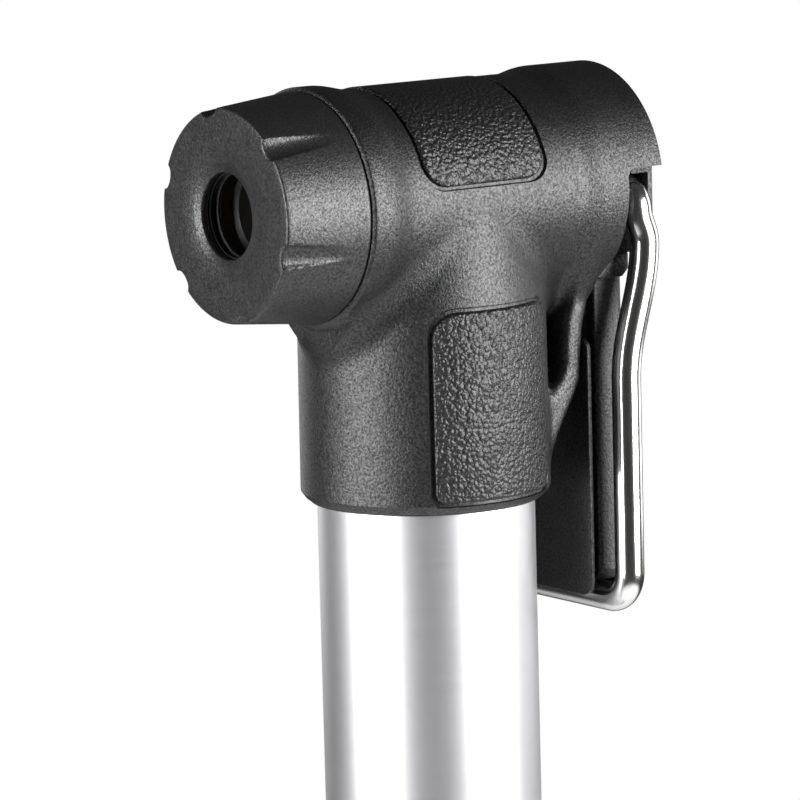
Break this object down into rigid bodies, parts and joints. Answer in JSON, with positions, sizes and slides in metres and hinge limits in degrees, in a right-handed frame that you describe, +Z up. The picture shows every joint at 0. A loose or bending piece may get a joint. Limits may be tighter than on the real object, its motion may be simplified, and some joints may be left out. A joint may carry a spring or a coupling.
{
  "type": "mini pump",
  "caption": "Slim hand pump: aluminium barrel, T-shaped thumb-lock head with a notched screw cap, wire-bailed lever and a pull handle.",
  "frame": {"origin": "centre of the handle's flat end face", "axes": "+Z up the barrel towards the head, -Y the way the valve port faces, +X to the right seen from the port"},
  "size_m": [0.0264, 0.0461, 0.2068],
  "materials": {
    "nylon": "glass-filled nylon with a fine spark-eroded texture",
    "cap_nylon": "glass-filled nylon, slightly smoother and paler than the head",
    "pad": "thermoplastic rubber with a coarse leather grain",
    "anodised_aluminium": "fine brushed and clear anodised",
    "polished_steel": "polished spring steel wire",
    "rod_steel": "ground steel",
    "rubber": "moulded nitrile rubber",
    "acetal": "natural moulded acetal",
    "brass": "turned brass"
  },
  "bodies": {
    "pump": {"head_body": "nylon", "top_pad": "pad", "side_pad_right": "pad", "side_pad_left": "pad", "valve_grommet": "rubber", "check_valve_seat": "brass", "check_valve_spring": "polished_steel", "barrel": "anodised_aluminium", "barrel_o_ring": "rubber", "barrel_gland": "nylon", "rod_bush": "acetal", "rod_wiper": "rubber", "bump_stop": "rubber"},
    "cap": {"valve_cap": "cap_nylon"},
    "plunger": {"plunger": "acetal", "plunger_o_rings": "rubber", "core_depressor": "brass", "thrust_washer": "brass"},
    "lever": {"cam_hub": "nylon", "lever_shell": "nylon", "lever_face_plate": "nylon", "wire_bail": "polished_steel"},
    "valve_disc": {"check_valve_disc": "rubber"},
    "handle": {"piston_rod": "rod_steel", "piston": "acetal", "piston_o_ring": "rubber", "piston_screw": "rod_steel", "handle_core": "nylon", "handle_grip": "pad", "handle_end_cap": "nylon", "handle_screw": "rod_steel"}
  },
  "joints": [
    {"name": "pump_stroke", "type": "slide", "parent": "pump", "child": "handle", "axis": [0, 0, -1], "range_m": [0, 0.098]},
    {"name": "lever_lock", "type": "hinge", "parent": "pump", "child": "lever", "pos_m": [0, 0.02, 0.1945], "axis": [1, 0, 0], "range_deg": [0, 90]},
    {"name": "plunger_push", "type": "slide", "parent": "pump", "child": "plunger", "axis": [0, -1, 0], "range_m": [0, 0.0014], "deforming": ["valve_grommet"]},
    {"name": "cap_turn", "type": "hinge", "parent": "pump", "child": "cap", "pos_m": [0, -0.019, 0.195], "axis": [0, -1, 0], "continuous": true},
    {"name": "check_valve_lift", "type": "slide", "parent": "pump", "child": "valve_disc", "axis": [0, 0, 1], "range_m": [0, 0.0006], "stiffness_N_per_m": 20, "deforming": ["check_valve_spring"]}
  ],
  "couplings": [
    {"joint": "plunger_push", "follows": "lever_lock", "m_per_rad": 0.0008849}
  ]
}
